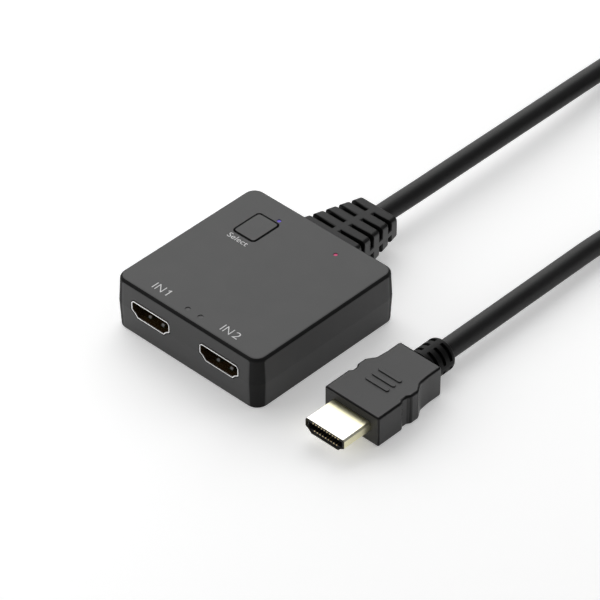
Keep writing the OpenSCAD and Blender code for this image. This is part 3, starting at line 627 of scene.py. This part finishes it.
CABLE_R = 3.05 * MM
CABLE_ROUND_STEPS = 6
ROUTE_STEP = 2 * MM
BOX_ROUTE = [
    (0, 49.55, 7.8), (0, 56, 7.8), (0.1, 65, 7.8), (0.1, 75, 7.8), (0.05, 86, 7.75), (0, 98, 7.65),
    (-0.2, 111, 7.4), (-0.55, 124, 6.95), (-1.2, 137, 6.2), (-2.1, 150, 5.05), (-3.1, 162, 3.75),
    (-3.75, 172, 3.1),
]
COIL_MIDDLE = (33.25, 180)
COIL_R, COIL_STEP, COIL_TURNS, COIL_RINGS = 37, 6.9, 1.5, 24
COIL_LOW, COIL_CLIMB, CLIMB_TURN, TIE_TURN, TIE_LIFT = 3.1, 6.8, 0.25, 0.25, 1.15
PLUG_ROUTE = [
    (59.9, 172, 9.9), (59.9, 164, 9.9), (59.8, 156, 9.7), (59.3, 148, 8.9), (58.3, 139, 7.6),
    (56.9, 130, 6.1), (55.2, 121, 4.8), (53.3, 112, 3.9), (51.4, 103, 3.6), (50, 94, 3.7), (49.7, 85, 4),
    (49.85, 74, 4.3), (50.1, 63, 4.6), (50.25, 52, 4.8), (50.35, 41, 4.9), (50.4, 33, 5), (50.4, 28, 5),
    (50.4, 21, 5),
]
NODES_ON_CABLE = ["cable_inner_end", "plug_shell", "plug_insulator", "plug_contacts", "plug_boot"]


def coil_point(turn):
    """A point of the coil, which winds inwards, lifts over the strap and climbs in its last part."""
    r = COIL_R - COIL_STEP * turn
    a = math.pi * (1 - 2 * turn)
    share = min(max((turn - COIL_TURNS + CLIMB_TURN) / CLIMB_TURN, 0), 1)
    lift = TIE_LIFT * max(0, math.cos(2 * math.pi * (turn - TIE_TURN))) ** 2
    z = COIL_LOW + lift + COIL_CLIMB * share * share * (3 - 2 * share)
    return COIL_MIDDLE[0] + r * math.cos(a), COIL_MIDDLE[1] + r * math.sin(a), z


def smooth_line(points, step):
    """Points about step apart on a smooth curve through the given ones."""
    ends = [2 * points[0] - points[1]] + points + [2 * points[-1] - points[-2]]
    line = []
    for p0, p1, p2, p3 in zip(ends, ends[1:], ends[2:], ends[3:]):
        count = max(2, round((p2 - p1).length / step))
        for i in range(count):
            t = i / count
            line.append(0.5 * (
                2 * p1 + t * (p2 - p0) + t * t * (2 * p0 - 5 * p1 + 4 * p2 - p3)
                + t * t * t * (3 * p1 - p0 - 3 * p2 + p3)
            ))
    return line + [points[-1]]


def add_cable(with_pieces):
    """The whole cable as one curve, from the strain relief through the coil to the plug."""
    rings = round(COIL_TURNS * COIL_RINGS)
    coil = [coil_point(k / COIL_RINGS) for k in range(rings + 1)]
    route = [Vector(p) * MM for p in BOX_ROUTE + coil + PLUG_ROUTE]
    line = smooth_line(route, ROUTE_STEP)
    data = bpy.data.curves.new("output_cable", "CURVE")
    data.dimensions = "3D"
    data.bevel_depth = CABLE_R
    data.bevel_resolution = CABLE_ROUND_STEPS
    data.use_fill_caps = True
    spline = data.splines.new("POLY")
    spline.points.add(len(line) - 1)
    for point, place in zip(spline.points, line):
        point.co = (*place, 1.0)
    spline.use_smooth = True
    cable = new_piece("output_cable", data, "case", "cable_jacket")
    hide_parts("cable_box_stretch", "cable_coil", "cable_plug_stretch")


# Labels printed on the roof, with their places in millimetres

ROOF_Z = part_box("upper_shell")[1].z
INK_T = 0.02 * MM
LABEL_LOW, LABEL_HIGH = -24.0, -21.4
# Name, words, reach along X, reach along Y and boldness
WORDS = [
    ("label_in_1", "IN", (-16.1, -12.6), (LABEL_LOW, LABEL_HIGH), -0.012),
    ("label_in_2", "IN", (9.75, 13.2), (LABEL_LOW, LABEL_HIGH), -0.012),
    ("label_in_2_digit", "2", (14.15, 16.05), (LABEL_LOW, LABEL_HIGH), -0.008),
    ("label_select", "Select", (-17.1, -9.9), (6.0, 7.9), -0.002),
]
DIGIT_1 = [
    (-10.95, LABEL_LOW), (-10.6, LABEL_LOW), (-10.6, LABEL_HIGH), (-10.9, LABEL_HIGH), (-11.55, -21.95),
    (-11.4, -22.2), (-10.95, -21.85),
]


def add_words(name, words, reach_x, reach_y, boldness):
    """Words fitted to a box."""
    data = bpy.data.curves.new(name, "FONT")
    data.body = words
    data.offset = boldness
    data.extrude = INK_T / 2
    label = new_piece(name, data, "case", "label_ink")
    bpy.context.view_layer.update()
    corners = [tuple(corner) for corner in label.bound_box]
    scale, place = [], []
    for axis, (start, end) in enumerate((reach_x, reach_y)):
        low = min(corner[axis] for corner in corners)
        high = max(corner[axis] for corner in corners)
        scale.append((end - start) * MM / (high - low))
        place.append(start * MM - scale[axis] * low)
    label.scale = (*scale, 1)
    label.location = (*place, ROOF_Z + INK_T / 2)


def add_digit(name, outline):
    """A digit with the given outline."""
    work = bmesh.new()
    low = [work.verts.new((x * MM, y * MM, ROOF_Z)) for x, y in outline]
    high = [work.verts.new((x * MM, y * MM, ROOF_Z + INK_T)) for x, y in outline]
    work.faces.new(low)
    work.faces.new(high)
    for i in range(len(outline)):
        work.faces.new((low[i - 1], low[i], high[i], high[i - 1]))
    new_piece(name, finished_mesh(name, work), "case", "label_ink")


def add_labels():
    """The names of the two inputs and of the button."""
    for words in WORDS:
        add_words(*words)
    add_digit("label_in_1_digit", DIGIT_1)


# Light and floor, in metres

AIM = Vector((0.02, 0.02, 0.005))
WORLD_LEVEL = 0.22
# Name, direction, distance, size, level and whether glossy surfaces mirror it
LIGHTS = [
    ("key_softbox", (-0.62, 0.47, 0.63), 1.4, 1.7, 0.92, True),
    ("front_softbox", (-0.75, -0.6, 0.2), 0.35, 0.3, 0.4, False),
    ("right_softbox", (0.54, 0.77, 0.34), 1.4, 0.9, 0.22, False),
]
FLOOR_REACH, FLOOR_Z = 4.0, -0.02 * MM
FLOOR_COLOUR, FLOOR_SEEN_COLOUR = 0.8, 0.98
FLOOR_GLOW = 0.3
FLOOR_CLOUD, FLOOR_CLOUD_SIZE = 0.02, 0.12


def add_softbox(name, direction, distance, size, level, mirrored):
    """A square softbox aimed at the object, in whose light a white surface that faces it shows level."""
    data = bpy.data.lights.new(name, "AREA")
    data.shape = "SQUARE"
    data.size = size
    data.energy = level * math.pi ** 2 * distance ** 2
    light = bpy.data.objects.new(name, data)
    away = Vector(direction).normalized()
    light.location = AIM + away * distance
    light.rotation_euler = away.to_track_quat("Z", "Y").to_euler()
    light.visible_glossy = mirrored
    bpy.context.scene.collection.objects.link(light)


def add_light():
    """An even white world and the softboxes."""
    world = bpy.data.worlds.new("studio")
    world.use_nodes = True
    background = world.node_tree.nodes["Background"]
    background.inputs["Color"].default_value = grey(1.0)
    background.inputs["Strength"].default_value = WORLD_LEVEL
    bpy.context.scene.world = world
    for light in LIGHTS:
        add_softbox(*light)


def add_floor():
    """A pale floor which the camera and mirrors see as white away from the shadows."""
    paint = Paint("floor", Specular_IOR_Level=0.0, Roughness=0.9)
    path = paint.node("ShaderNodeLightPath").outputs
    seen = paint.math("MAXIMUM", path["Is Camera Ray"], path["Is Glossy Ray"])
    seen = paint.math("MAXIMUM", seen, path["Is Transmission Ray"])
    tone = paint.mix(seen, grey(FLOOR_COLOUR), grey(FLOOR_SEEN_COLOUR))
    cloud = paint.math("MULTIPLY", paint.noise(size=FLOOR_CLOUD_SIZE, detail=2.0), FLOOR_CLOUD)
    paint.set("Base Color", paint.mix(cloud, tone, grey(0.0)))
    paint.set("Emission Color", grey(1.0))
    paint.set("Emission Strength", paint.math("MULTIPLY", seen, FLOOR_GLOW))
    mesh = bpy.data.meshes.new("floor")
    sides = [(-1, -1), (1, -1), (1, 1), (-1, 1)]
    mesh.from_pydata([(x * FLOOR_REACH, y * FLOOR_REACH, FLOOR_Z) for x, y in sides], [], [(0, 1, 2, 3)])
    mesh.materials.append(paint.material)
    floor = bpy.data.objects.new("floor", mesh)
    bpy.context.scene.collection.objects.link(floor)


bpy.context.scene.view_settings.view_transform = "Standard"
add_camera()
paint_nodes()
add_cable([add_boot(), add_grip(), add_strap()] + [nodes[name] for name in NODES_ON_CABLE])
add_dome()
add_button()
add_labels()
add_light()
add_floor()
